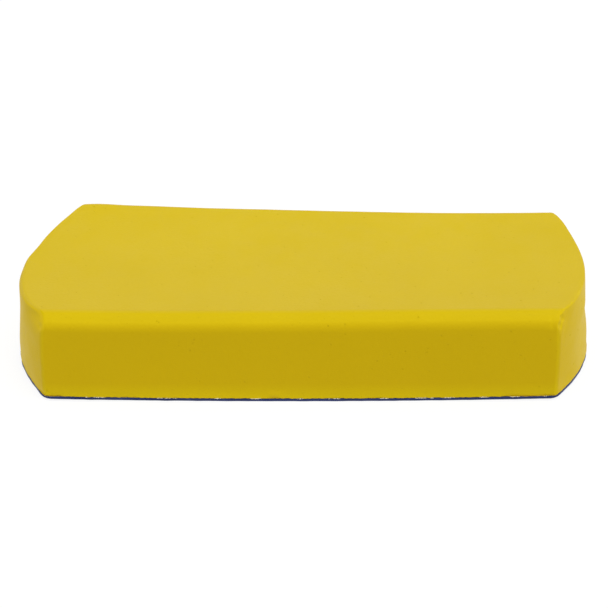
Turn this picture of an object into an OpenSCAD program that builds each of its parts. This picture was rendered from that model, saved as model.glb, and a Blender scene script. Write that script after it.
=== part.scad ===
// Block grout float: a closed-cell foam block that is its own grip, bonded to a thin dense rubber
// working face. It has no separate handle and no moving part.
// +X runs along the length and +Z is up. The origin is at the centre of the working face, on its
// underside, so the float rests on z = 0.

/* [Whole float] */
// Length over the two curved ends, at the working face
float_l = 240; // [200:1:280]
// Width across the straight long sides, at the working face
float_w = 100; // [80:1:120]
// Height from the working face to the flat of the grip
float_h = 39; // [30:0.5:50]
// How far each curved end bulges past the corners beside it
end_bulge = 16; // [10:0.5:20]

/* [Grip block] */
// How far each curved end leans inward by the top of the block
end_lean = 2; // [0:0.25:4]
// How far each long side leans inward by the start of its rounding
side_lean = 0.5; // [0:0.25:2]
// Radius of the rounding along the two long top edges
grip_r = 7.5; // [4:0.5:12]

/* [Face sheet] */
// Thickness of the dense rubber sheet
sheet_t = 1.2; // [0.8:0.1:4]
// Radius of the four corners of the sheet, seen from above
sheet_corner_r = 2.5; // [1:0.5:5]

/* [Adhesive] */
// Thickness of the adhesive film
glue_t = 0.1; // [0.1:0.05:0.4]
// How far the film stops short of the outline
glue_inset = 0.4; // [0.2:0.1:1]
// How far the squeezed-out beads stand past the outline
bead_proud = 0.3; // [0.1:0.1:0.5]

/* [Hidden] */
$fn = 180;

half_w = float_w / 2;
// Each end is an arc through its two corners, centred on the X axis
end_r = (half_w * half_w + end_bulge * end_bulge) / (2 * end_bulge);
end_cx = float_l / 2 - end_r;
block_z = sheet_t + glue_t;
block_h = float_h - block_z;
// Cutters reach this far past what they cut
over = 5;
// Beads along the front joint: [middle of the bead in x, its length]. The back joint has the same
// beads turned end for end.
BEADS = [
    [-91, 3], [-82, 6], [-55, 8], [-34, 3], [-18, 5], [0, 3], [14, 5],
    [34, 4], [50, 5], [61, 5], [75, 4], [88, 4], [101, 2]
];

// What lies outside the right-hand end: a slab with the end's cylinder or cone taken out of it
module beyond_end(h, r_low, r_high) {
    spread = (r_high - r_low) / h * 2 * over;
    difference() {
        translate([0, -half_w - over, -over])
            cube([float_l / 2 + over, float_w + 2 * over, h + 2 * over]);
        translate([end_cx, 0, -2 * over])
            cylinder(h = h + 4 * over, r1 = r_low - spread, r2 = r_high + spread);
    }
}

// Trims a piece of height h that is already the right width to the curve of both ends
module trim_ends(h, r_low, r_high) {
    difference() {
        children();
        for (side = [0, 1])
            mirror([side, 0, 0])
                beyond_end(h, r_low, r_high);
    }
}

// A flat plate with the float's outline, drawn in by inset on every side
module outline_plate(h, inset) {
    trim_ends(h, end_r - inset, end_r - inset)
        translate([-float_l / 2, inset - half_w, 0])
            cube([float_l, float_w - 2 * inset, h]);
}

// Cross-section of the grip block, X across the float and Y up
module grip_profile() {
    top_half_w = half_w - side_lean;
    round_h = block_h - grip_r;
    polygon([
        [-half_w, 0], [half_w, 0], [top_half_w, round_h],
        [-top_half_w, round_h]
    ]);
    translate([grip_r - top_half_w, 0])
        square([2 * (top_half_w - grip_r), block_h]);
    for (side = [-1, 1])
        translate([side * (top_half_w - grip_r), round_h])
            circle(r = grip_r);
}

module grip_block() {
    color([0.85, 0.74, 0.17])
        translate([0, 0, block_z])
            trim_ends(block_h, end_r, end_r - end_lean)
                rotate([90, 0, 90])
                    linear_extrude(height = float_l, center = true)
                        grip_profile();
}

module adhesive_film() {
    color([0.86, 0.84, 0.74])
        translate([0, 0, sheet_t])
            outline_plate(glue_t, glue_inset);
}

// Each bead fills the groove beside the film and stands a little past the outline
module glue_beads() {
    depth = glue_inset + bead_proud;
    color([0.93, 0.92, 0.85])
        for (turn = [0, 180])
            rotate([0, 0, turn])
                for (bead = BEADS)
                    translate([bead[0] - bead[1] / 2, -half_w - bead_proud, sheet_t])
                        cube([bead[1], depth, glue_t]);
}

// What the rounding of the right-hand back corner takes off a plate
module corner_waste(h) {
    centre_y = half_w - sheet_corner_r;
    centre_dx = sqrt(pow(end_r - sheet_corner_r, 2) - centre_y * centre_y);
    reach = 2 * sheet_corner_r;
    toward_end = reach * [centre_dx, centre_y] / (end_r - sheet_corner_r);
    translate([end_cx + centre_dx, centre_y, -over])
        linear_extrude(height = h + 2 * over)
            difference() {
                polygon([[0, 0], toward_end, toward_end + [0, reach], [0, reach]]);
                circle(r = sheet_corner_r);
            }
}

module face_sheet() {
    color([0.13, 0.18, 0.42])
        difference() {
            outline_plate(sheet_t, 0);
            for (across = [0, 1], along = [0, 1])
                mirror([along, 0, 0])
                    mirror([0, across, 0])
                        corner_waste(sheet_t);
        }
}

grip_block();
adhesive_film();
glue_beads();
face_sheet();
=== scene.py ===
"""Looks of a handle-less block grout float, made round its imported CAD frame.

The foam block, the face sheet and the film between them are each one swept slab: a cross-section carried
along the length, rounded over at both ends and closed with a curved end face. A real block of foam is cut a
little out of true, so one gentle unevenness is given to every piece alike. Lengths are millimetres until a
mesh is made.
"""
import math
from collections import namedtuple

import bpy
import numpy as np
from mathutils import Matrix, Vector


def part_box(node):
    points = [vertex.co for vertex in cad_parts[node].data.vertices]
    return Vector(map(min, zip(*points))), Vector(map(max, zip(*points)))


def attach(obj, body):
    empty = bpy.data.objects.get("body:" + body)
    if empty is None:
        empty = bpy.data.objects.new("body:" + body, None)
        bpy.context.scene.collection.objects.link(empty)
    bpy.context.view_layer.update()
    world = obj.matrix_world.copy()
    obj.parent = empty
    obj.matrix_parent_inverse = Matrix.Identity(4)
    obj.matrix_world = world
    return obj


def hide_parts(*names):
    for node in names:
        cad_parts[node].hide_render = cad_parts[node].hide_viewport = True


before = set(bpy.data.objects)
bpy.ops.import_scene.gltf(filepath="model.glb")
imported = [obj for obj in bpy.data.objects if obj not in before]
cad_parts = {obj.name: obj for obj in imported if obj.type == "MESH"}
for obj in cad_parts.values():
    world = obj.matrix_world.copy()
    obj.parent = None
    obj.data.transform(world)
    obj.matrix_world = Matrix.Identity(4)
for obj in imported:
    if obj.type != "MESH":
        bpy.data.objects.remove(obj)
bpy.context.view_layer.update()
MM = 0.001
LEFT, RIGHT = -1, 1     # the two ends
FRONT, BACK = -1, 1     # the two long sides
DOWN, UP = -1, 1


def box_mm(node):
    """Lowest and highest corners of a CAD node, in millimetres."""
    return [np.array(corner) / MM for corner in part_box(node)]


# ---- Sizes, from the frame --------------------------------------------------------------------------------
BLOCK_LOW, BLOCK_HIGH = box_mm("grip_block")
SHEET_LOW, SHEET_HIGH = box_mm("face_sheet")
FILM_LOW, FILM_HIGH = box_mm("adhesive_film")
HALF_L, HALF_W, HEIGHT = BLOCK_HIGH
JOINT_Z = (FILM_LOW[2] + FILM_HIGH[2]) / 2

# ---- The shape that a box can't give ----------------------------------------------------------------------
END_BULGE_LOW = 15.2    # how far each end bulges past its corners at the working face
END_BULGE_HIGH = 13.4   # and at the top
END_LEAN = 3.2          # how far the ends lean in by the top
END_SWELL = 0.4         # how far the end faces swell at mid-height
SIDE_LEAN = 0.5         # how far the long sides lean in by the top
SIDE_BOW = 0.8          # how far the long sides bow out at mid-length, at the working face
GRIP_R = 7.5            # rounding of the long top edges
GRIP_CREASE = 13        # the slight crease, in degrees, where that rounding meets the flat top
CORNER_R = 1.2          # rounding of the block's four upright edges
RIM_R = 0.3             # rounding of the block's top edge over the ends, where it is crisp
RIM_WORN_R = {LEFT: 1.8, RIGHT: 0.9}    # and where it is rubbed down
CUT_R = 0.25            # rounding of the block's cut lower edge
SHEET_CORNER_R = 2.5    # rounding of the sheet's four corners
SHEET_EDGE_R = 0.15     # rounding of the sheet's cut edges
SHEET_PROUD = 0.2       # how far the sheet's cut edge stands past the block's
BEAD_R = 0.115          # radius of an adhesive bead

# ---- How far the real block is out of true ----------------------------------------------------------------
TAPER = 2.4         # the half-width lost at the right end and gained at the left
SKEW = 2.6          # how far the back edge is shifted right, and the front edge left
END_SHIFT = -1.8    # how far the middle of both ends is shifted right
END_SWAY = 1.2      # how far both ends' curves sway right at the back and left at the front
END_ROLL = 6.3      # how much fuller both ends' curves are at the front than at the back
FLANK_FLAT = 0.5    # how much flatter than an arc the ends' flanks are
FLANK_RISE = 0.7    # how much of that is made up from the bottom to the top
END_LIFT = 1.05     # how far the two ends curl up off the floor
TOP_TWIST = 1.2     # how far the top twists between mid-length and the ends
BACK_CURL = 0.35    # how far the back's top corners curl up, and the front's down

# Places where an end is dented, or swollen where the depth is negative, and how far each spreads
Dent = namedtuple("Dent", "side y z depth spread_y spread_z")
DENTS = [
    Dent(LEFT, -46, 38.3, 2.25, 6.3, 5.5),      # rounds off the front top corner
    Dent(LEFT, -21, 38, -0.5, 11, 7),
    Dent(LEFT, -5, 39, -0.15, 7, 6),
    Dent(LEFT, 6, 39, 0.95, 9, 8),
    Dent(LEFT, 28, 39, -0.25, 6, 8),
    Dent(LEFT, 52, 39, 5.2, 6, 8),              # cuts off the back top corner
    Dent(LEFT, -30, 0, 0.7, 14, 8),
    Dent(LEFT, -16, 6, -0.55, 14, 11),
    Dent(LEFT, -41, 0, 0.4, 7, 5),
    Dent(RIGHT, -46, 38, 1.0, 5, 4.5),          # rounds off the front top corner
    Dent(RIGHT, -22, 28, -0.6, 8, 4),
    Dent(RIGHT, 34, 39, -0.4, 9, 6),
    Dent(RIGHT, 51, 39, 3, 6, 8),               # cuts off the back top corner
    Dent(RIGHT, -12, 23, 0.9, 14, 7),           # the hollow below the middle of the rim
    Dent(RIGHT, -6, 8, -0.55, 14, 10),
    Dent(RIGHT, -45, 5, 0.35, 8, 12),
]
DENT_REACH = 8      # how far from the end face, in x, a dent fades
# The stretch of the top's back edge that is lifted a little, and how far that spreads
Lift = namedtuple("Lift", "x y height spread_x spread_y")
LIFTED = Lift(-99, 50, 0.6, 9, 12)

# ---- Wear -------------------------------------------------------------------------------------------------
# The stretch, in y, of each end's top edge that is rubbed, where the worn tint also paints the light and
# shade of the worn facets, and the stretch that is rounded over. Each fades out over a distance past both of
# its ends.
RUBBED, RUBBED_FADE = {LEFT: (-49, -36), RIGHT: (-44, -24)}, 7
SOFTENED, SOFTENED_FADE = {LEFT: (-46, -12), RIGHT: (-44, -24)}, 10
RUBBED_DEPTH = 2.5      # how far in from the end face the rubbing goes
RUBBED_DROP, RUBBED_DROP_FADE = 1, 2    # how far below the top it stays full, and the fade below that
ENDS_APART = 40.0       # where along x the noise of each end's rim is read, so that the two differ
# Where the block's upright front edges are chipped, and how far up and down that spreads
Chip = namedtuple("Chip", "side z spread_z depth")
CHIPS = [Chip(RIGHT, 35, 5.5, 0.32), Chip(LEFT, 34, 5, 0.12)]
CHIP_SIZE = 3.4         # the size of one flake
CHIP_REACH = 4          # how far round the edge the chips spread
CHIP_INSET = 2          # how far in from the long side their middle lies
CHIP_BARE = 0.3         # the depth from which a chip looks bare
BROAD_RELIEF, BROAD_SIZE = 0.12, 55     # the foam's gentle swells: their height and their size
FINE_RELIEF, FINE_SIZE = 0.012, 9       # and its fine ones
RELIEF_START = 3        # how far above the joint both are full

# ---- The cut edge along the joint -------------------------------------------------------------------------
FLARE = 0.22        # how far the foam spreads at the joint
FLARE_HEIGHT = 2.2  # the height over which it does
FLARE_UNEVEN, FLARE_SIZE = 0.35, 14     # how much that varies along the edge, and over what length
LIP_RAG = 0.07      # how ragged its lower edge is
RAG_OUT, RAG_UP = 1.6, 1.3      # the size of the rags outward and upward
LIP_HEIGHT = 0.5    # the height over which that fades
SHEET_RAG, FILM_RAG = 0.08, 0.15    # how ragged the edges of the sheet and the film are
# A nick in the front lower edge: the edge is lifted and drawn in, and the foam bulges a little above it
Nick = namedtuple("Nick", "x half_length lift lift_fade bulge bulge_height bulge_spread")
NICK = Nick(-10.6, 2.9, 0.5, 1.2, 0.35, 2.0, 0.9)
UNDERCUT_HEIGHT, UNDERCUT_FADE = 0.9, 2.5   # how high an undercut reaches, and how far it fades along x
# Stretches of the front lower edge that curl under: (start, end, depth)
UNDERCUTS = [(-106, -99, 0.5), (85, 103, 0.55), (-75, -68, 0.2), (29, 33, 0.2)]

BEAD_LUMPS, BEAD_LUMP_SIZE = 0.7, 1.1       # how much a bead's radius varies, and over what length
BEAD_DRIFT, BEAD_DRIFT_SIZE = 0.06, 2.0     # how far it strays up and down, and over what length
BEAD_FLAT = 0.8     # its depth as a share of its height
BEAD_SHIFT = 0.2    # how far along the joint it may lie from its place
# Adhesive beads along the front joint: (middle of the bead in x, its length)
BEADS = [
    (-87.5, 1.2), (-82, 5), (-57.5, 2.5), (-54, 3), (-51, 2), (-34, 3), (-18, 5), (0, 2.7), (12, 1.2),
    (15, 3), (34.5, 3.7), (49.5, 5), (54, 1.3), (61, 4.7), (75, 3.7), (88, 4), (100.5, 1.3),
]

# ---- Looks ------------------------------------------------------------------------------------------------
# Colours are linear. The foam's colour changes with the way that it faces, which paints light and shade into
# it, and has a painted sheen towards the front of the top.
FOAM_TOP = (0.622, 0.452, 0.005)
# painted sheen: the front half of the top is given a paler yellow
FOAM_TOP_FRONT_SHEEN = (0.602, 0.437, 0.02)
# painted sheen on the rims over the ends
FOAM_RIM_SHEEN = (0.605, 0.44, 0.035)
FOAM_ROUND = (0.62, 0.45, 0.0008)       # the rounding of the long top edges
# painted light: the ends are given a lighter yellow than the top
FOAM_END_LIT = (0.668, 0.473, 0.006)
# painted shade: the long sides, and the ends beside their corners, are darker than the top
FOAM_SIDE_SHADE = (0.53, 0.364, 0.0008)
FOAM_FOOT_LIGHT = (0.648, 0.507, 0.0006)       # painted light from the floor, which shows through the sides' painted shade towards the foot of the long sides
FOAM_PORE = (0.42, 0.29, 0.001)
# worn foam on the rubbed rims and bare chips, with the light and shade of their worn facets painted in
FOAM_RUBBED_AND_SHADED = (0.64, 0.47, 0.002)
RUBBER = (0.011, 0.022, 0.105)
RUBBER_BLOOM = (0.035, 0.055, 0.17)
RUBBER_SCUFF = (0.05, 0.07, 0.18)
ADHESIVE = (0.76, 0.72, 0.56)
ADHESIVE_AGED = (0.66, 0.58, 0.36)
ADHESIVE_DIRT = (0.45, 0.43, 0.38)
FOAM_IOR, RUBBER_IOR, ADHESIVE_IOR = 1.14, 1.3, 1.45

# The spacing of the foam's cells, pinholes and open pores, and the height of its relief
CELL_APART, PINHOLE_APART, PORE_APART = 0.45, 2.2, 4.6
CELL_DEPTH, SPECKLE_DEPTH, PORE_DEPTH = 0.02, 0.035, 0.12
# How far from its middle a pinhole or pore is full, and where it ends, as shares of its spacing
PINHOLE_R, PORE_R = (0.06, 0.12), (0.045, 0.1)
PINHOLE_TINT, PORE_TINT = 0.28, 0.4     # how far each takes on FOAM_PORE
FOOT_LOW, FOOT_HIGH = 1, 7      # how far above the joint the sides' painted shade starts and is full
TOP_SHEEN_FADE = 40               # how far from mid-width the painted sheen of the top's front half reaches none or all of it
GRAIN_DEPTH, LUMP_DEPTH = 0.02, 0.06    # the relief of the rubber and of the adhesive

# ---- Camera, floor and light ------------------------------------------------------------------------------
CAMERA_TURNS = (30.02, 1.89, -0.46)     # elevation, turn round the float and roll, in degrees
CAMERA_TARGET = (-2.34, 0, 16.54)       # the place that it looks at
CAMERA_DISTANCE = 750
CAMERA_LENS, CAMERA_SENSOR = 103.36, 36
FLOOR_SIZE = 12.0       # in metres
FLOOR_TONE = 0.15
FLOOR_GLOW = 0.86
FLOOR_ROUGHNESS = 0.9
FLOOR_DROP = 0.05       # how far the floor lies below the float, so that they don't share a plane
# Soft round lights: the way to them, how narrow they are and how bright
Card = namedtuple("Card", "towards sharpness glow")
KEY_CARD = Card((0.17, -0.3, 1), 6, 3.3)
BACK_CARD = Card((0, 0.89, 0.45), 20, 1.8)
SIDE_GLOW, SIDE_SHARPNESS = 0.6, 4
ROOM_GLOW = 0.22
HORIZON_TOP = 0.17      # the sine of the elevation that the white backdrop reaches
HORIZON_FADE = 0.06

# ---- How finely the meshes are cut ------------------------------------------------------------------------
WALL_CROWD = 1.8        # how much closer the rows of a long wall lie towards the joint
FLAT_CROWD = 1.4        # how much closer the columns of a flat lie towards its edges, in radians
CORNER_PART = 12        # one part in this many of the half-width turns into the upright corner
BEAD_STEPS, BEAD_SIDES = 40, 12     # how many rings a bead has, and how many corners each ring has

# A slab's cross-section: its size, its roundings and how many steps each stretch is cut into
Section = namedtuple("Section", "half_w lean low high low_r high_r crease wall_steps flat_steps arc_steps")


# ---- Outline ----------------------------------------------------------------------------------------------
def height_share(z):
    """How far up the float a height is, from 0 to 1."""
    return np.clip(z / HEIGHT, 0, 1)


def end_reach(y, z, inset=0.0):
    """How far the end face reaches in x, at a place across the float and a height."""
    share = height_share(z)
    reach = HALF_L - END_LEAN * share + END_SWELL * 4 * share * (1 - share) - inset
    bulge = END_BULGE_LOW + (END_BULGE_HIGH - END_BULGE_LOW) * share
    half_w = HALF_W - SIDE_LEAN * share
    radius = (half_w ** 2 + bulge ** 2) / (2 * bulge)
    return reach - radius + np.sqrt(radius ** 2 - np.minimum(y ** 2, radius ** 2))


def rounded_row(section, upward):
    """The y and z of a section's UP or DOWN row, front to back, with half of each corner's rounding."""
    s = section
    level, radius, crease = (s.high, s.high_r, s.crease) if upward == UP else (s.low, s.low_r, 0)
    last = math.radians(90 - crease)
    turn = np.linspace(math.radians(45), last, s.arc_steps + 1)[:-1]
    start = level - upward * radius * math.sin(last)
    edge = s.half_w - s.lean * height_share(start)
    corner = edge - radius * (1 - np.cos(turn))
    drop = radius * (math.sin(last) - np.sin(turn))
    spread = np.sin(np.linspace(-FLAT_CROWD, FLAT_CROWD, s.flat_steps + 1)) / math.sin(FLAT_CROWD)
    y = np.concatenate([-corner, spread * (edge - radius * (1 - math.cos(last))), corner[::-1]])
    z = level - upward * np.concatenate([drop, np.zeros(s.flat_steps + 1), drop[::-1]])
    return y, z


def section_loop(section):
    """A cross-section as rows of (y, z): back along the bottom, up, forward along the top and down.

    Also returns how many steps there are in a row and in a column.
    """
    s = section
    turn = np.radians(np.linspace(0, 45, s.arc_steps + 1))[1:]
    wall_low, wall_high = s.low + s.low_r, s.high - s.high_r * math.cos(math.radians(s.crease))
    climb = np.linspace(0, 1, s.wall_steps + 1) ** WALL_CROWD
    column_z = np.concatenate([
        wall_low - s.low_r * np.sin(turn[::-1]), wall_low + (wall_high - wall_low) * climb,
        wall_high + s.high_r * np.sin(turn)])
    pull_in = np.concatenate([
        s.low_r * (1 - np.cos(turn[::-1])), np.zeros(s.wall_steps + 1), s.high_r * (1 - np.cos(turn))])
    column_y = s.half_w - s.lean * height_share(column_z) - pull_in
    low_y, low_z = rounded_row(s, DOWN)
    high_y, high_z = rounded_row(s, UP)
    y = np.concatenate([low_y[:-1], column_y[:-1], high_y[:0:-1], -column_y[:0:-1]])
    z = np.concatenate([low_z[:-1], column_z[:-1], high_z[:0:-1], column_z[:0:-1]])
    return np.stack([y, z], 1), len(low_y) - 1, len(column_z) - 1


# ---- Slabs ------------------------------------------------------------------------------------------------
def end_rings(loop, section, side, corner_r, rim_r, low_r, inset):
    """The rings of the rounding at one end, from the long walls outward. rim_r may differ along the loop."""
    rise = (loop[:, 1] - section.low) / (section.high - section.low)
    near_side = np.clip(np.abs(loop[:, 0]) / section.half_w * CORNER_PART - (CORNER_PART - 1), 0, 1)
    rim_r = np.broadcast_to(rim_r, len(loop))
    depth = rim_r * (1 - near_side) + corner_r * near_side
    rings = []
    for angle in np.radians(np.linspace(0, 90, section.arc_steps + 1)):
        draw_in = 1 - math.cos(angle)
        y = loop[:, 0] * (1 - corner_r * draw_in / section.half_w)
        z = loop[:, 1] + draw_in * (low_r * (1 - rise) - rim_r * rise)
        x = end_reach(y, z, inset) - depth * (1 - math.sin(angle))
        rings.append(np.stack([side * x, y, z], 1))
    return rings


def patch_grid(rim, across, up):
    """Fills a closed rim of points with a grid of up + 1 by across + 1 points (a Coons patch)."""
    low, back, high, front = rim_sides(rim, across, up)
    u = np.linspace(0, 1, across + 1)[None, :, None]
    v = np.linspace(0, 1, up + 1)[:, None, None]
    ruled = (1 - v) * low[None] + v * high[None] + (1 - u) * front[:, None] + u * back[:, None]
    corners = (1 - v) * ((1 - u) * low[0] + u * low[-1]) + v * ((1 - u) * high[0] + u * high[-1])
    return ruled - corners


def rim_sides(rim, across, up):
    """The bottom, back, top and front of a rim, the rows from front to back and the columns upward."""
    rim = np.concatenate([rim, rim[:1]])
    first, second, third = np.cumsum([across, up, across])
    low, back = rim[:first + 1], rim[first:second + 1]
    high, front = rim[second:third + 1][::-1], rim[third:][::-1]
    return low, back, high, front


def quads(grid):
    """Faces of a grid of vertex numbers."""
    return np.stack([grid[:-1, :-1], grid[:-1, 1:], grid[1:, 1:], grid[1:, :-1]], -1).reshape(-1, 4)


def slab(section, columns, corner_r, rim_r, low_r, inset=0.0):
    """Sweeps a section along the float, then rounds and closes both ends. Returns points and faces.

    rim_r is a function that gives the radius over an end's top edge from y and the side, or one number.
    """
    loop, across, up = section_loop(section)
    ends = {}
    for side in (LEFT, RIGHT):
        rim = rim_r(loop[:, 0], side) if callable(rim_r) else rim_r
        ends[side] = end_rings(loop, section, side, corner_r, rim, low_r, inset)
    shares = np.linspace(0, 1, columns + 1)[1:-1]
    middle = [ends[LEFT][0] * (1 - share) + ends[RIGHT][0] * share for share in shares]
    rings = np.array(ends[LEFT][::-1] + middle + ends[RIGHT])
    points = rings.reshape(-1, 3)
    numbers = np.arange(len(points)).reshape(len(rings), len(loop))
    faces = [quads(np.concatenate([numbers, numbers[:, :1]], 1))]
    for ring, side in ((0, LEFT), (-1, RIGHT)):
        inner = patch_grid(rings[ring][:, 1:], across, up)[1:-1, 1:-1].reshape(-1, 2)
        cap = np.empty((up + 1, across + 1), int)
        cap[0], cap[:, -1], cap[-1], cap[:, 0] = rim_sides(numbers[ring], across, up)
        cap[1:-1, 1:-1] = len(points) + np.arange(len(inner)).reshape(up - 1, across - 1)
        faces.append(quads(cap if side == RIGHT else cap[:, ::-1]))
        reach = side * end_reach(inner[:, 0], inner[:, 1], inset)
        points = np.concatenate([points, np.column_stack([reach, inner])])
    return points, np.concatenate(faces)


# ---- Unevenness -------------------------------------------------------------------------------------------
def dented(points):
    """How far the dents shift every point in x, in millimetres."""
    x, y, z = points.T
    shift = np.zeros(len(points))
    for dent in DENTS:
        near = np.exp(-((y - dent.y) / dent.spread_y) ** 2 - ((z - dent.z) / dent.spread_z) ** 2)
        inside = np.maximum(end_reach(y, z) - dent.side * x, 0)
        shift -= dent.side * dent.depth * near * np.exp(-inside / DENT_REACH)
    return shift


def uneven(points):
    """Puts the float's small departures from a true shape into any piece's points."""
    x, y, z = points.T
    along = np.clip(np.abs(x) / (HALF_L - END_BULGE_LOW), 0, 1)
    bow = SIDE_BOW * (1 - height_share(z)) * (1 - along ** 2) * y / HALF_W
    lifted = LIFTED.height * height_share(z) * np.exp(
        -((x - LIFTED.x) / LIFTED.spread_x) ** 2 - ((y - LIFTED.y) / LIFTED.spread_y) ** 2)
    x, y, z = (points / [HALF_L, HALF_W, HEIGHT]).T
    flat = (FLANK_FLAT - FLANK_RISE * (z - 0.5)) * 4 * y ** 2 * (1 - y ** 2)
    sway = (y - y ** 3) * (END_SWAY - END_ROLL * x)
    ends = x ** 2 * (END_SHIFT * (1 - y ** 2) + sway - np.sign(x) * flat)
    shift_x = dented(points) + SKEW * y + ends
    shift_z = lifted + END_LIFT * x ** 2 - y * z * (TOP_TWIST * (x - x ** 3) - BACK_CURL * x ** 2)
    return points + np.column_stack([shift_x, bow - TAPER * x * y, shift_z])


def waves(points, wavelength, seed, count=24):
    """Smooth random relief, mostly within -1 to 1: a sum of plane waves that run in every direction."""
    rng = np.random.default_rng(seed)
    heading = rng.normal(size=(count, 3))
    heading /= np.linalg.norm(heading, axis=1)[:, None]
    pitch = 2 * math.pi / (wavelength * rng.uniform(0.7, 1.5, count))
    phase = rng.uniform(0, 2 * math.pi, count)
    return np.cos(points @ (heading * pitch[:, None]).T + phase).sum(1) / math.sqrt(count)


def outward(points, faces):
    """Unit normal at every point."""
    a, b, c, d = (points[faces[:, i]] for i in range(4))
    facing = np.cross(c - a, d - b)
    normals = np.zeros_like(points)
    for i in range(4):
        np.add.at(normals, faces[:, i], facing)
    return normals / np.maximum(np.linalg.norm(normals, axis=1), 1e-12)[:, None]


def bump_shape(value, start, end, soft):
    """1 between start and end, falling smoothly to 0 over a distance of soft on both sides."""
    rise = np.clip((value - start + soft) / soft, 0, 1) * np.clip((end + soft - value) / soft, 0, 1)
    return rise * rise * (3 - 2 * rise)


def mesh_piece(name, points, faces, node, material):
    """Makes a mesh, in metres, that stands for a CAD node."""
    mesh = bpy.data.meshes.new(name)
    mesh.from_pydata((points * MM).tolist(), [], [list(face) for face in faces])
    mesh.shade_smooth()
    mesh.materials.append(material)
    piece = bpy.data.objects.new(name, mesh)
    bpy.context.scene.collection.objects.link(piece)
    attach(piece, "root")
    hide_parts(node)
    return piece


# ---- The foam block ---------------------------------------------------------------------------------------
def rim_wear(y, side):
    """How rubbed down an end's top edge is at each place across, from 0 to 1."""
    place = np.column_stack([y, np.full(len(y), ENDS_APART * side), np.zeros(len(y))])
    rubbed = bump_shape(y, *RUBBED[side], RUBBED_FADE) * (0.75 + 0.45 * waves(place, 9, seed=5))
    return np.clip(rubbed + 0.3 * (waves(place, 30, seed=6) - 0.6), 0, 1)


def rim_radius(y, side):
    """The rounding of an end's top edge at each place across."""
    worn = np.maximum(rim_wear(y, side), bump_shape(y, *SOFTENED[side], SOFTENED_FADE))
    return RIM_R + (RIM_WORN_R[side] - RIM_R) * worn


def chipped(points):
    """How deep the upright front edges are chipped, in millimetres, at each point."""
    x, y, z = points.T
    depth = np.zeros(len(points))
    for chip in CHIPS:
        apart = np.hypot(chip.side * x - (HALF_L - END_BULGE_LOW), y + HALF_W - CHIP_INSET)
        near = np.exp(-((z - chip.z) / chip.spread_z) ** 2 - (apart / CHIP_REACH) ** 2)
        depth += chip.depth * near * np.clip(waves(points, CHIP_SIZE, seed=41) + 0.4, 0, 1.6)
    return depth


def worn_look(points, chips):
    """How worn the foam looks at each point, from 0 to 1: rubbed along its rims and bare in its chips. It
    marks where the worn tint goes, and that tint also paints the light and shade of the worn facets.
    """
    x, y, z = points.T
    wear = np.where(x > 0, rim_wear(y, RIGHT), rim_wear(y, LEFT))
    wear *= np.clip((z - HEIGHT + RUBBED_DROP + RUBBED_DROP_FADE) / RUBBED_DROP_FADE, 0, 1)
    wear *= np.clip(1 - (end_reach(y, z) - np.abs(x)) / RUBBED_DEPTH, 0, 1)
    return np.maximum(wear, np.clip(chips / CHIP_BARE, 0, 0.8))


def shape_lip(points, normals):
    """Spreads the foam at the joint and makes its cut lower edge ragged, undercut and nicked."""
    x, y, z = points.T
    above = np.maximum(z - BLOCK_LOW[2], 0)
    level = normals * [1, 1, 0]
    level /= np.maximum(np.linalg.norm(level, axis=1), 0.3)[:, None]
    near = np.exp(-above / FLARE_HEIGHT)
    edge = np.exp(-above / LIP_HEIGHT)
    out = FLARE * near * (1 + FLARE_UNEVEN * waves(points, FLARE_SIZE, seed=11))
    out += LIP_RAG * edge * waves(points, RAG_OUT, seed=12)
    front = (y < 0) & (normals[:, 1] < -0.5)
    for start, end, depth in UNDERCUTS:
        out -= front * depth * bump_shape(x, start, end, UNDERCUT_FADE) * np.exp(-above / UNDERCUT_HEIGHT)
    nick = front * np.clip(1 - ((x - NICK.x) / NICK.half_length) ** 2, 0, 1)
    out += nick * NICK.bulge * (np.exp(-((above - NICK.bulge_height) / NICK.bulge_spread) ** 2) - edge)
    up = NICK.lift * nick * np.exp(-above / NICK.lift_fade)
    up += LIP_RAG * edge * (waves(points, RAG_UP, seed=13) - 0.6)
    low_face = normals[:, 2] < -0.9
    moved = points + level * out[:, None]
    moved[:, 2] += np.where(low_face, 0, up)
    return moved


def grip_block(material):
    """The foam block, with its flared lower edge, its chips and its rubbed rims."""
    section = Section(
        HALF_W, SIDE_LEAN, BLOCK_LOW[2], HEIGHT, low_r=CUT_R, high_r=GRIP_R, crease=GRIP_CREASE,
        wall_steps=24, flat_steps=48, arc_steps=8)
    points, faces = slab(section, columns=400, corner_r=CORNER_R, rim_r=rim_radius, low_r=CUT_R)
    normals = outward(points, faces)
    chips = chipped(points)
    wear = worn_look(points, chips)
    points = shape_lip(points, normals)
    relief = BROAD_RELIEF * waves(points, BROAD_SIZE, seed=1)
    relief += FINE_RELIEF * waves(points, FINE_SIZE, seed=2, count=48)
    relief *= np.clip((points[:, 2] - BLOCK_LOW[2]) / RELIEF_START, 0, 1)
    points += normals * (relief - chips)[:, None]
    piece = mesh_piece("foam_grip_block", uneven(points), faces, "grip_block", material)
    piece.data.attributes.new("wear", "FLOAT", "POINT").data.foreach_set("value", wear)
    return piece


# ---- The other pieces -------------------------------------------------------------------------------------
def ragged(points, faces, depth, size, seed):
    """Moves the upright edges of a thin piece in and out."""
    return points + outward(points, faces) * [1, 1, 0] * depth * waves(points, size, seed)[:, None]


def face_sheet(material):
    """The rubber sheet, which stands a little past the block all round."""
    section = Section(
        HALF_W + SHEET_PROUD, SIDE_LEAN, SHEET_LOW[2], SHEET_HIGH[2], low_r=SHEET_EDGE_R, high_r=SHEET_EDGE_R,
        crease=0, wall_steps=4, flat_steps=48, arc_steps=3)
    points, faces = slab(section, 240, SHEET_CORNER_R, SHEET_EDGE_R, SHEET_EDGE_R, inset=-SHEET_PROUD)
    points = ragged(points, faces, SHEET_RAG, size=5, seed=21)
    return mesh_piece("rubber_face_sheet", uneven(points), faces, "face_sheet", material)


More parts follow.
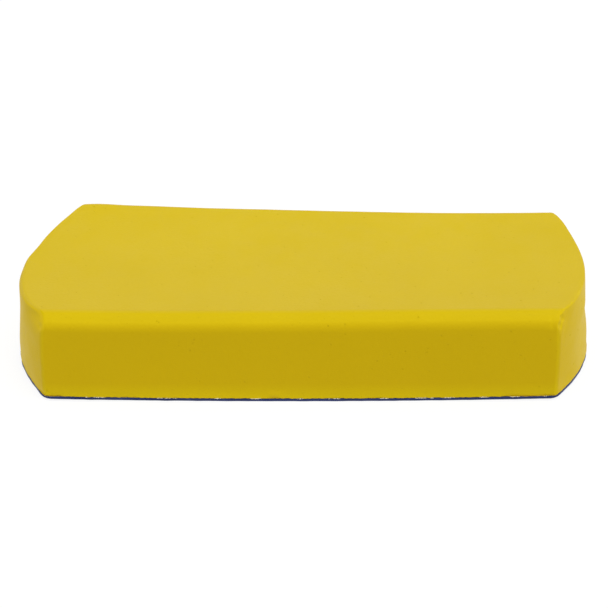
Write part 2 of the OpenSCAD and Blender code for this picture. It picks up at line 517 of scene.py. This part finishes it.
def adhesive_film(material):
    """The film between the two, which stops short of their outline."""
    edge_r = (FILM_HIGH[2] - FILM_LOW[2]) / 4
    section = Section(
        FILM_HIGH[1], SIDE_LEAN, FILM_LOW[2], FILM_HIGH[2], low_r=edge_r, high_r=edge_r,
        crease=0, wall_steps=2, flat_steps=40, arc_steps=1)
    points, faces = slab(section, 200, CORNER_R, edge_r, edge_r, inset=HALF_W - FILM_HIGH[1])
    points = ragged(points, faces, FILM_RAG, size=4, seed=31)
    return mesh_piece("adhesive_layer", uneven(points), faces, "adhesive_film", material)


def bead(middle, length, side, seed):
    """One bead of squeezed-out adhesive: a lumpy thread in the joint, drawn to a point at each end."""
    rng = np.random.default_rng(seed)
    around = np.radians(np.arange(BEAD_SIDES) * 360 / BEAD_SIDES)
    along = np.linspace(-1, 1, BEAD_STEPS)
    line = np.column_stack([along * length, np.zeros((BEAD_STEPS, 2))])
    lumps = np.clip(1 + BEAD_LUMPS * waves(line, BEAD_LUMP_SIZE, 100 + seed), 0.2, 1.7)
    radius = BEAD_R * np.sqrt(1 - (along * 0.99) ** 2) * lumps
    drift = BEAD_DRIFT * waves(line, BEAD_DRIFT_SIZE, 200 + seed)
    x = middle + along * length / 2 + rng.uniform(-BEAD_SHIFT, BEAD_SHIFT)
    y = side * (HALF_W + SHEET_PROUD) + radius[:, None] * BEAD_FLAT * np.cos(around)
    z = JOINT_Z + drift[:, None] + radius[:, None] * np.sin(around)
    points = np.stack([np.repeat(x[:, None], BEAD_SIDES, 1), y, z], -1)
    numbers = np.arange(BEAD_STEPS * BEAD_SIDES).reshape(BEAD_STEPS, BEAD_SIDES)
    skin = quads(np.concatenate([numbers, numbers[:, :1]], 1))
    return points.reshape(-1, 3), skin.tolist() + [numbers[0][::-1].tolist(), numbers[-1].tolist()]


def glue_beads(material):
    """The beads of the front joint, and the same ones turned end for end along the back."""
    points, faces = [], []
    for number, (middle, length) in enumerate(BEADS):
        for side in (FRONT, BACK):
            first = sum(len(done) for done in points)
            more, skin = bead(-side * middle, length, side, 2 * number + (side == BACK))
            points.append(more)
            faces += [[first + corner for corner in face] for face in skin]
    points = uneven(np.concatenate(points))
    return mesh_piece("adhesive_beads", points, faces, "glue_beads", material)


# ---- Materials --------------------------------------------------------------------------------------------
def fill(tree, socket, value):
    """Links a node's input to another node's output, or sets it to a value."""
    if isinstance(value, bpy.types.NodeSocket):
        tree.links.new(value, socket)
    else:
        socket.default_value = value


def maths_node(tree, operation, first, second, clamp=False):
    """The result of one sum on two numbers or outputs."""
    made = tree.nodes.new("ShaderNodeMath")
    made.operation, made.use_clamp = operation, clamp
    for socket, value in zip(made.inputs, (first, second)):
        fill(tree, socket, value)
    return made.outputs[0]


class Recipe:
    """A material's node tree, with a short way to add each kind of node. Sizes are in millimetres."""

    def __init__(self, name, ior):
        self.material = bpy.data.materials.new(name)
        self.material.use_nodes = True
        self.tree = self.material.node_tree
        self.shader = self.tree.nodes["Principled BSDF"]
        self.shader.inputs["IOR"].default_value = ior
        found = self.tree.nodes.new("ShaderNodeTexCoord")
        self.place, self.facing = found.outputs["Object"], found.outputs["Normal"]

    def node(self, kind, inputs, output, **settings):
        """Adds a node, given its inputs and settings by name. Returns one of its outputs."""
        made = self.tree.nodes.new("ShaderNode" + kind)
        for name, value in settings.items():
            setattr(made, name, value)
        for name, value in inputs.items():
            fill(self.tree, made.inputs[name], value)
        return made.outputs[output]

    def stretched(self, stretch):
        """The place on the object, with lengths along each axis divided by stretch."""
        inputs = {"Vector": self.place, "Scale": [1 / share for share in stretch]}
        return self.node("Mapping", inputs, "Vector")

    def noise(self, size, detail=2.0, stretch=(1, 1, 1)):
        """Smooth noise, from about 0.3 to 0.7."""
        inputs = {"Vector": self.stretched(stretch), "Scale": 1 / (size * MM), "Detail": detail}
        return self.node("TexNoise", inputs, "Fac")

    def mottle(self, size, detail=2.0, stretch=(1, 1, 1), low=0.0, high=1.0):
        """Smooth noise, spread out to run from low to high."""
        return self.remap(self.noise(size, detail, stretch), 0.3, 0.7, low, high)

    def cells(self, size):
        """Distance to the nearest of many scattered points, as a share of size."""
        return self.node("TexVoronoi", {"Vector": self.place, "Scale": 1 / (size * MM)}, "Distance")

    def along(self, axis):
        """The place on the object along an axis, in metres."""
        return self.node("SeparateXYZ", {"Vector": self.place}, axis)

    def turned(self, axis):
        """How squarely the surface faces along an axis, from 0 to 1."""
        return self.maths("ABSOLUTE", self.node("SeparateXYZ", {"Vector": self.facing}, axis), 0.0)

    def remap(self, value, low, high, to_low=0.0, to_high=1.0):
        """Maps low..high to to_low..to_high, and holds it there outside."""
        inputs = {"Value": value, "From Min": low, "From Max": high, "To Min": to_low, "To Max": to_high}
        return self.node("MapRange", inputs, "Result")

    def maths(self, operation, first, second):
        """The result of one sum on two numbers or outputs of this material."""
        return maths_node(self.tree, operation, first, second)

    def mix(self, share, first, second):
        """A colour from first, where share is 0, to second, where it is 1."""
        made = self.tree.nodes.new("ShaderNodeMix")
        made.data_type = "RGBA"
        fill(self.tree, made.inputs["Factor"], share)
        for name, colour in (("A_Color", first), ("B_Color", second)):
            socket = next(entry for entry in made.inputs if entry.identifier == name)
            fill(self.tree, socket, colour if isinstance(colour, bpy.types.NodeSocket) else (*colour, 1))
        return next(entry for entry in made.outputs if entry.identifier == "Result_Color")

    def relief(self, depth, height, under=None):
        """Bumps of a height of depth mm, over the relief that is already there."""
        inputs = {"Height": height, "Distance": depth * MM}
        if under:
            inputs["Normal"] = under
        return self.node("Bump", inputs, "Normal")

    def finish(self, colour, roughness, normal):
        """Links the look to the shader. Returns the material."""
        for name, value in (("Base Color", colour), ("Roughness", roughness), ("Normal", normal)):
            fill(self.tree, self.shader.inputs[name], value)
        return self.material


def tinted(colour, gain):
    """A colour made lighter or darker."""
    return tuple(gain * channel for channel in colour)


def side_shade_share(recipe, upward, across):
    """How much of the upright sides' painted shade shows: less at the foot, and on the ends only beside a
    corner.
    """
    # painted shade on the ends beside each upright corner
    corner = recipe.maths(
        "MULTIPLY", recipe.remap(across, 0.34, 0.65, 0, 0.8), recipe.remap(upward, 0.1, 0.4, 1, 0))
    foot = (BLOCK_LOW[2] + FOOT_LOW) * MM, (BLOCK_LOW[2] + FOOT_HIGH) * MM
    # less painted shade at the foot, so that the painted floor light there shows through
    above_foot = recipe.remap(recipe.along("Z"), *foot, 0.55, 1)
    return recipe.maths("MULTIPLY", recipe.maths("MAXIMUM", recipe.remap(across, 0.8, 1), corner), above_foot)


def foam_shading_by_facing(recipe):
    """The foam's colour from the way that it faces, which paints light and shade into it: painted light on
    the ends, painted sheen on the rims and the front half of the top, painted shade on the long sides and
    painted floor light at their foot; the rounding has its own deeper yellow.

    Each ramp runs between two values of how squarely the surface faces up or across the float.
    """
    upward, across = recipe.turned("Z"), recipe.turned("Y")
    over_side = recipe.remap(recipe.maths("SUBTRACT", across, recipe.turned("X")), 0, 0.15)
    over_end = recipe.maths("SUBTRACT", 1, over_side)
    upright = recipe.maths("MULTIPLY", over_side, recipe.remap(upward, 0.05, 0.3, 1, 0))
    rounded = recipe.maths("MULTIPLY", over_side, recipe.remap(upward, 0.25, 0.75))
    rim = recipe.maths("MULTIPLY", over_end, recipe.remap(upward, 0.45, 0.8))
    flat = recipe.remap(upward, 0.9, 0.99)
    # painted sheen: the front half of the top is given a paler yellow
    top_front_sheen = recipe.remap(recipe.along("Y"), -TOP_SHEEN_FADE * MM, TOP_SHEEN_FADE * MM, 1, 0)
    # painted light: the ends are given a lighter yellow than the top
    colour = recipe.mix(rounded, recipe.mix(upright, FOAM_END_LIT, FOAM_FOOT_LIGHT), FOAM_ROUND)
    # painted sheen on the rims over the ends
    colour = recipe.mix(rim, colour, FOAM_RIM_SHEEN)
    colour = recipe.mix(flat, colour, recipe.mix(top_front_sheen, FOAM_TOP, FOAM_TOP_FRONT_SHEEN))
    # painted shade over the long sides and beside the corners
    return recipe.mix(side_shade_share(recipe, upward, across), colour, FOAM_SIDE_SHADE)


def foam_material():
    """Yellow closed-cell foam rubber: fine cells, a few open pores and a rubbed rim, with light and shade
    painted in by the way it faces.
    """
    recipe = Recipe("yellow_foam", FOAM_IOR)
    tone, speckle = recipe.mottle(45), recipe.mottle(1.2, detail=3)
    shade = recipe.maths("ADD", recipe.remap(tone, 0, 1, 0, 0.09), recipe.remap(speckle, 0, 1, 0, 0.05))
    crowding = recipe.remap(recipe.noise(70), 0.35, 0.65, 0.6, 1.15)
    pore = recipe.remap(recipe.maths("DIVIDE", recipe.cells(PORE_APART), crowding), *PORE_R, 1, 0)
    pinhole = recipe.remap(recipe.cells(PINHOLE_APART), *PINHOLE_R, 1, 0)
    colour = recipe.mix(shade, foam_shading_by_facing(recipe), FOAM_PORE)
    colour = recipe.mix(recipe.maths("MULTIPLY", pore, PORE_TINT), colour, FOAM_PORE)
    colour = recipe.mix(recipe.maths("MULTIPLY", pinhole, PINHOLE_TINT), colour, FOAM_PORE)
    wear = recipe.node("Attribute", {}, "Fac", attribute_name="wear")
    # the worn tint: real rubbing and chips, with the painted light and shade of the worn facets
    rubbed = recipe.maths("MULTIPLY", wear, recipe.remap(recipe.noise(1.6), 0.35, 0.6, 0.2, 0.7))
    colour = recipe.mix(rubbed, colour, FOAM_RUBBED_AND_SHADED)
    roughness = recipe.maths(
        "ADD", recipe.mottle(9, low=0.42, high=0.52), recipe.maths("MULTIPLY", pore, 0.3))
    holes = recipe.maths("MAXIMUM", pore, recipe.maths("MULTIPLY", pinhole, 0.4))
    normal = recipe.relief(CELL_DEPTH, recipe.cells(CELL_APART))
    normal = recipe.relief(SPECKLE_DEPTH, speckle, normal)
    normal = recipe.relief(-PORE_DEPTH, holes, normal)
    return recipe.finish(colour, roughness, normal)


def rubber_material():
    """Navy dense rubber: fine calender grain, a faint bloom and scuffs from the strokes."""
    recipe = Recipe("navy_rubber", RUBBER_IOR)
    colour = recipe.mix(recipe.mottle(14), tinted(RUBBER, 0.85), tinted(RUBBER, 1.15))
    bloom = recipe.remap(recipe.noise(5, detail=4), 0.45, 0.75, 0, 0.35)
    colour = recipe.mix(bloom, colour, RUBBER_BLOOM)
    scuff = recipe.remap(recipe.noise(0.7, stretch=(5, 40, 5)), 0.58, 0.72, 0, 0.5)
    colour = recipe.mix(scuff, colour, RUBBER_SCUFF)
    grain = recipe.mottle(0.35, detail=3)
    roughness = recipe.maths(
        "ADD", recipe.remap(grain, 0, 1, 0.4, 0.55), recipe.maths("MULTIPLY", scuff, 0.2))
    normal = recipe.relief(GRAIN_DEPTH, grain)
    normal = recipe.relief(GRAIN_DEPTH, recipe.mottle(0.5, stretch=(1, 1, 6)), normal)
    return recipe.finish(colour, roughness, normal)


def adhesive_material():
    """Cured contact adhesive: cream, slightly glossy, yellowed and lumpy, with a little dirt in it."""
    recipe = Recipe("cured_adhesive", ADHESIVE_IOR)
    colour = recipe.mix(recipe.remap(recipe.noise(2.5), 0.35, 0.65), ADHESIVE, ADHESIVE_AGED)
    dirt = recipe.remap(recipe.noise(0.6, detail=3), 0.58, 0.75, 0, 0.4)
    colour = recipe.mix(dirt, colour, ADHESIVE_DIRT)
    normal = recipe.relief(LUMP_DEPTH, recipe.noise(0.5, detail=3))
    return recipe.finish(colour, recipe.mottle(0.8, low=0.28, high=0.5), normal)


# ---- Stage ------------------------------------------------------------------------------------------------
def make_camera():
    """Aims the camera at the float from the front and above."""
    elevation, yaw, roll = (math.radians(angle) for angle in CAMERA_TURNS)
    ahead = Vector((
        -math.sin(yaw) * math.cos(elevation), math.cos(yaw) * math.cos(elevation), -math.sin(elevation)))
    level = Vector((math.cos(yaw), math.sin(yaw), 0))
    upward = level.cross(ahead)
    right = level * math.cos(roll) + upward * math.sin(roll)
    top = upward * math.cos(roll) - level * math.sin(roll)
    data = bpy.data.cameras.new("camera")
    data.lens, data.sensor_width = CAMERA_LENS, CAMERA_SENSOR
    camera = bpy.data.objects.new("camera", data)
    turned = Matrix((right, top, -ahead)).transposed().to_4x4()
    place = Matrix.Translation((Vector(CAMERA_TARGET) - ahead * CAMERA_DISTANCE) * MM)
    camera.matrix_world = place @ turned
    bpy.context.scene.collection.objects.link(camera)
    bpy.context.scene.camera = camera


def make_floor():
    """A wide pale floor that glows, so that it looks as white as the backdrop."""
    mesh = bpy.data.meshes.new("floor")
    corners = [(-1, -1, 0), (1, -1, 0), (1, 1, 0), (-1, 1, 0)]
    mesh.from_pydata([Vector(corner) * FLOOR_SIZE / 2 for corner in corners], [], [(0, 1, 2, 3)])
    floor = bpy.data.objects.new("floor", mesh)
    floor.location.z = -FLOOR_DROP * MM
    pale = bpy.data.materials.new("pale_floor")
    pale.use_nodes = True
    shader = pale.node_tree.nodes["Principled BSDF"]
    shader.inputs["Base Color"].default_value = (FLOOR_TONE, FLOOR_TONE, FLOOR_TONE, 1)
    shader.inputs["Roughness"].default_value = FLOOR_ROUGHNESS
    shader.inputs["Specular IOR Level"].default_value = 0
    shader.inputs["Emission Color"].default_value = (1, 1, 1, 1)
    shader.inputs["Emission Strength"].default_value = FLOOR_GLOW
    mesh.materials.append(pale)
    bpy.context.scene.collection.objects.link(floor)


def soft_card(tree, direction, card):
    """The strength of a round light at each direction, fading all the way out."""
    facing = tree.nodes.new("ShaderNodeVectorMath")
    facing.operation = "DOT_PRODUCT"
    tree.links.new(direction, facing.inputs[0])
    facing.inputs[1].default_value = Vector(card.towards).normalized()
    share = maths_node(tree, "MAXIMUM", facing.outputs["Value"], 0.0)
    return maths_node(tree, "MULTIPLY", maths_node(tree, "POWER", share, card.sharpness), card.glow)


def make_light():
    """White light from all round, brightest overhead and towards the back."""
    bpy.context.scene.view_settings.view_transform = "Standard"
    world = bpy.data.worlds.new("studio")
    bpy.context.scene.world = world
    world.use_nodes = True
    tree = world.node_tree
    direction = tree.nodes.new("ShaderNodeTexCoord").outputs["Generated"]
    apart = tree.nodes.new("ShaderNodeSeparateXYZ")
    tree.links.new(direction, apart.inputs[0])
    across = maths_node(tree, "POWER", maths_node(tree, "ABSOLUTE", apart.outputs["X"], 0.0), SIDE_SHARPNESS)
    cards = maths_node(tree, "ADD", *(soft_card(tree, direction, card) for card in (KEY_CARD, BACK_CARD)))
    cards = maths_node(tree, "ADD", cards, maths_node(tree, "MULTIPLY", across, SIDE_GLOW))
    below = maths_node(tree, "SUBTRACT", HORIZON_TOP, apart.outputs["Z"])
    backdrop = maths_node(tree, "DIVIDE", below, HORIZON_FADE, clamp=True)
    strength = maths_node(tree, "MAXIMUM", maths_node(tree, "ADD", cards, ROOM_GLOW), backdrop)
    background = tree.nodes["Background"]
    tree.links.new(strength, background.inputs["Strength"])
    background.inputs["Color"].default_value = (1, 1, 1, 1)


# ---- Build ------------------------------------------------------------------------------------------------
make_camera()
make_floor()
make_light()
grip_block(foam_material())
face_sheet(rubber_material())
adhesive = adhesive_material()
adhesive_film(adhesive)
glue_beads(adhesive)

bpy.context.view_layer.update()
